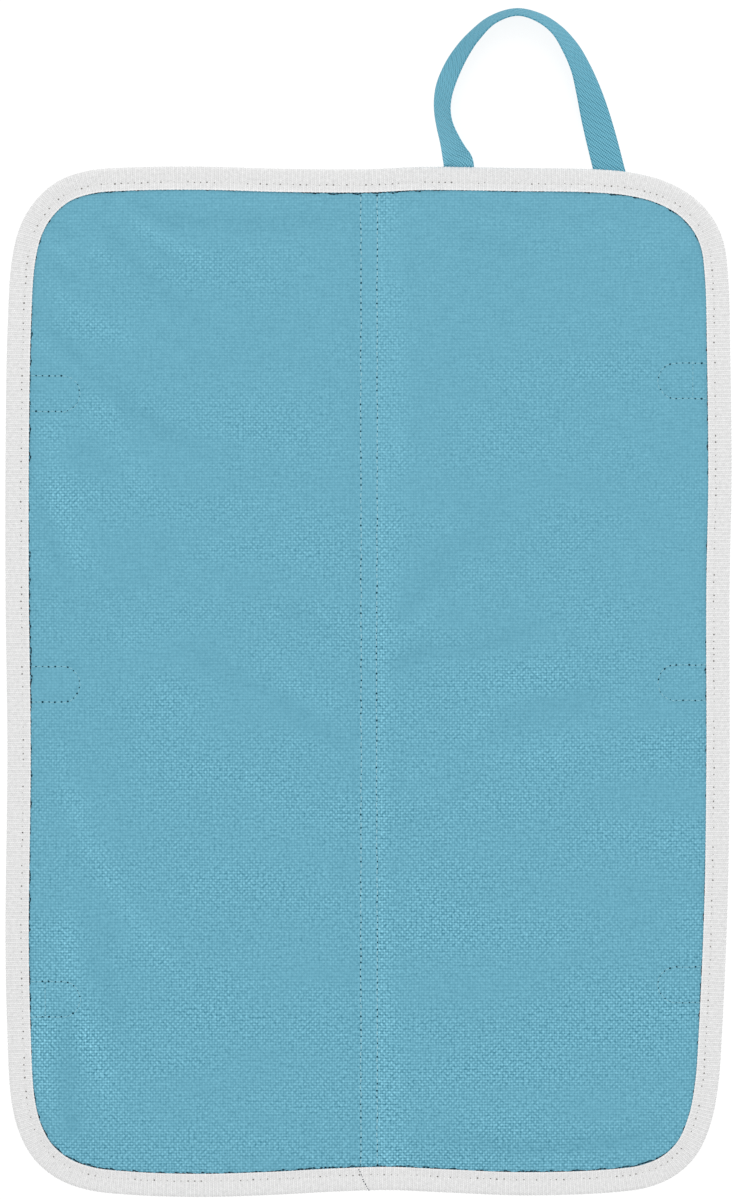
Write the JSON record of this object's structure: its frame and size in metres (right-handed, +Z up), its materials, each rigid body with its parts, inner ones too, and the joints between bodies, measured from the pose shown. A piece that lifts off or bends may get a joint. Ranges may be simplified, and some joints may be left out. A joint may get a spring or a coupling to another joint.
{
  "type": "folding changing pad",
  "caption": "Thin padded cloth changing pad with bound edges, a stitched lengthwise fold, hidden edge magnets and a webbing carry loop.",
  "frame": {"origin": "centre of the footprint of the open pad and its loop, on the surface the pad lies on", "axes": "+X across the fold towards the half that carries the loop, +Y along the fold towards the loop, +Z up out of the visible face"},
  "size_m": [0.45, 0.7378, 0.0187],
  "materials": {
    "coated_cloth": "plain-woven polyester canvas, thinly coated, slight sheen",
    "binding_tape": "white cross-ribbed grosgrain",
    "webbing": "narrow flat webbing, matched to the cloth",
    "foam": "soft open-cell foam sheet, off-white",
    "blue_thread": "polyester sewing thread, matched to the cloth",
    "white_thread": "polyester sewing thread, white",
    "magnet": "nickel-plated disc magnet"
  },
  "bodies": {
    "right_half": {"handle_tail_inner": "webbing", "handle_tail_outer": "webbing", "right_binding": "binding_tape", "right_binding_stitching": "white_thread", "right_bottom_cover": "coated_cloth", "right_foam": "foam", "right_fold_stitching": "blue_thread", "right_magnet_bottom": "magnet", "right_magnet_middle": "magnet", "right_magnet_top": "magnet", "right_pocket_stitching_bottom": "blue_thread", "right_pocket_stitching_middle": "blue_thread", "right_pocket_stitching_top": "blue_thread", "right_top_cover": "coated_cloth"},
    "spine": {"spine_binding_bottom": "binding_tape", "spine_binding_top": "binding_tape", "spine_bottom_strip": "coated_cloth", "spine_top_strip": "coated_cloth"},
    "left_half": {"left_binding": "binding_tape", "left_binding_stitching": "white_thread", "left_bottom_cover": "coated_cloth", "left_foam": "foam", "left_fold_stitching": "blue_thread", "left_magnet_bottom": "magnet", "left_magnet_middle": "magnet", "left_magnet_top": "magnet", "left_pocket_stitching_bottom": "blue_thread", "left_pocket_stitching_middle": "blue_thread", "left_pocket_stitching_top": "blue_thread", "left_top_cover": "coated_cloth"},
    "handle": {"handle_loop": "webbing"}
  },
  "joints": [
    {"name": "spine_fold", "type": "hinge", "parent": "right_half", "child": "spine", "pos_m": [0.005, -0.049, 0.003], "axis": [0, 1, 0], "range_deg": [0, 90]},
    {"name": "left_fold", "type": "hinge", "parent": "spine", "child": "left_half", "pos_m": [-0.005, -0.049, 0.003], "axis": [0, 1, 0], "range_deg": [0, 90]},
    {"name": "handle_swing", "type": "hinge", "parent": "right_half", "child": "handle", "pos_m": [0.102, 0.27256, 0.0007], "axis": [1, 0, 0], "range_deg": [0, 50]}
  ],
  "couplings": [
    {"joint": "left_fold", "follows": "spine_fold", "ratio": 1}
  ]
}
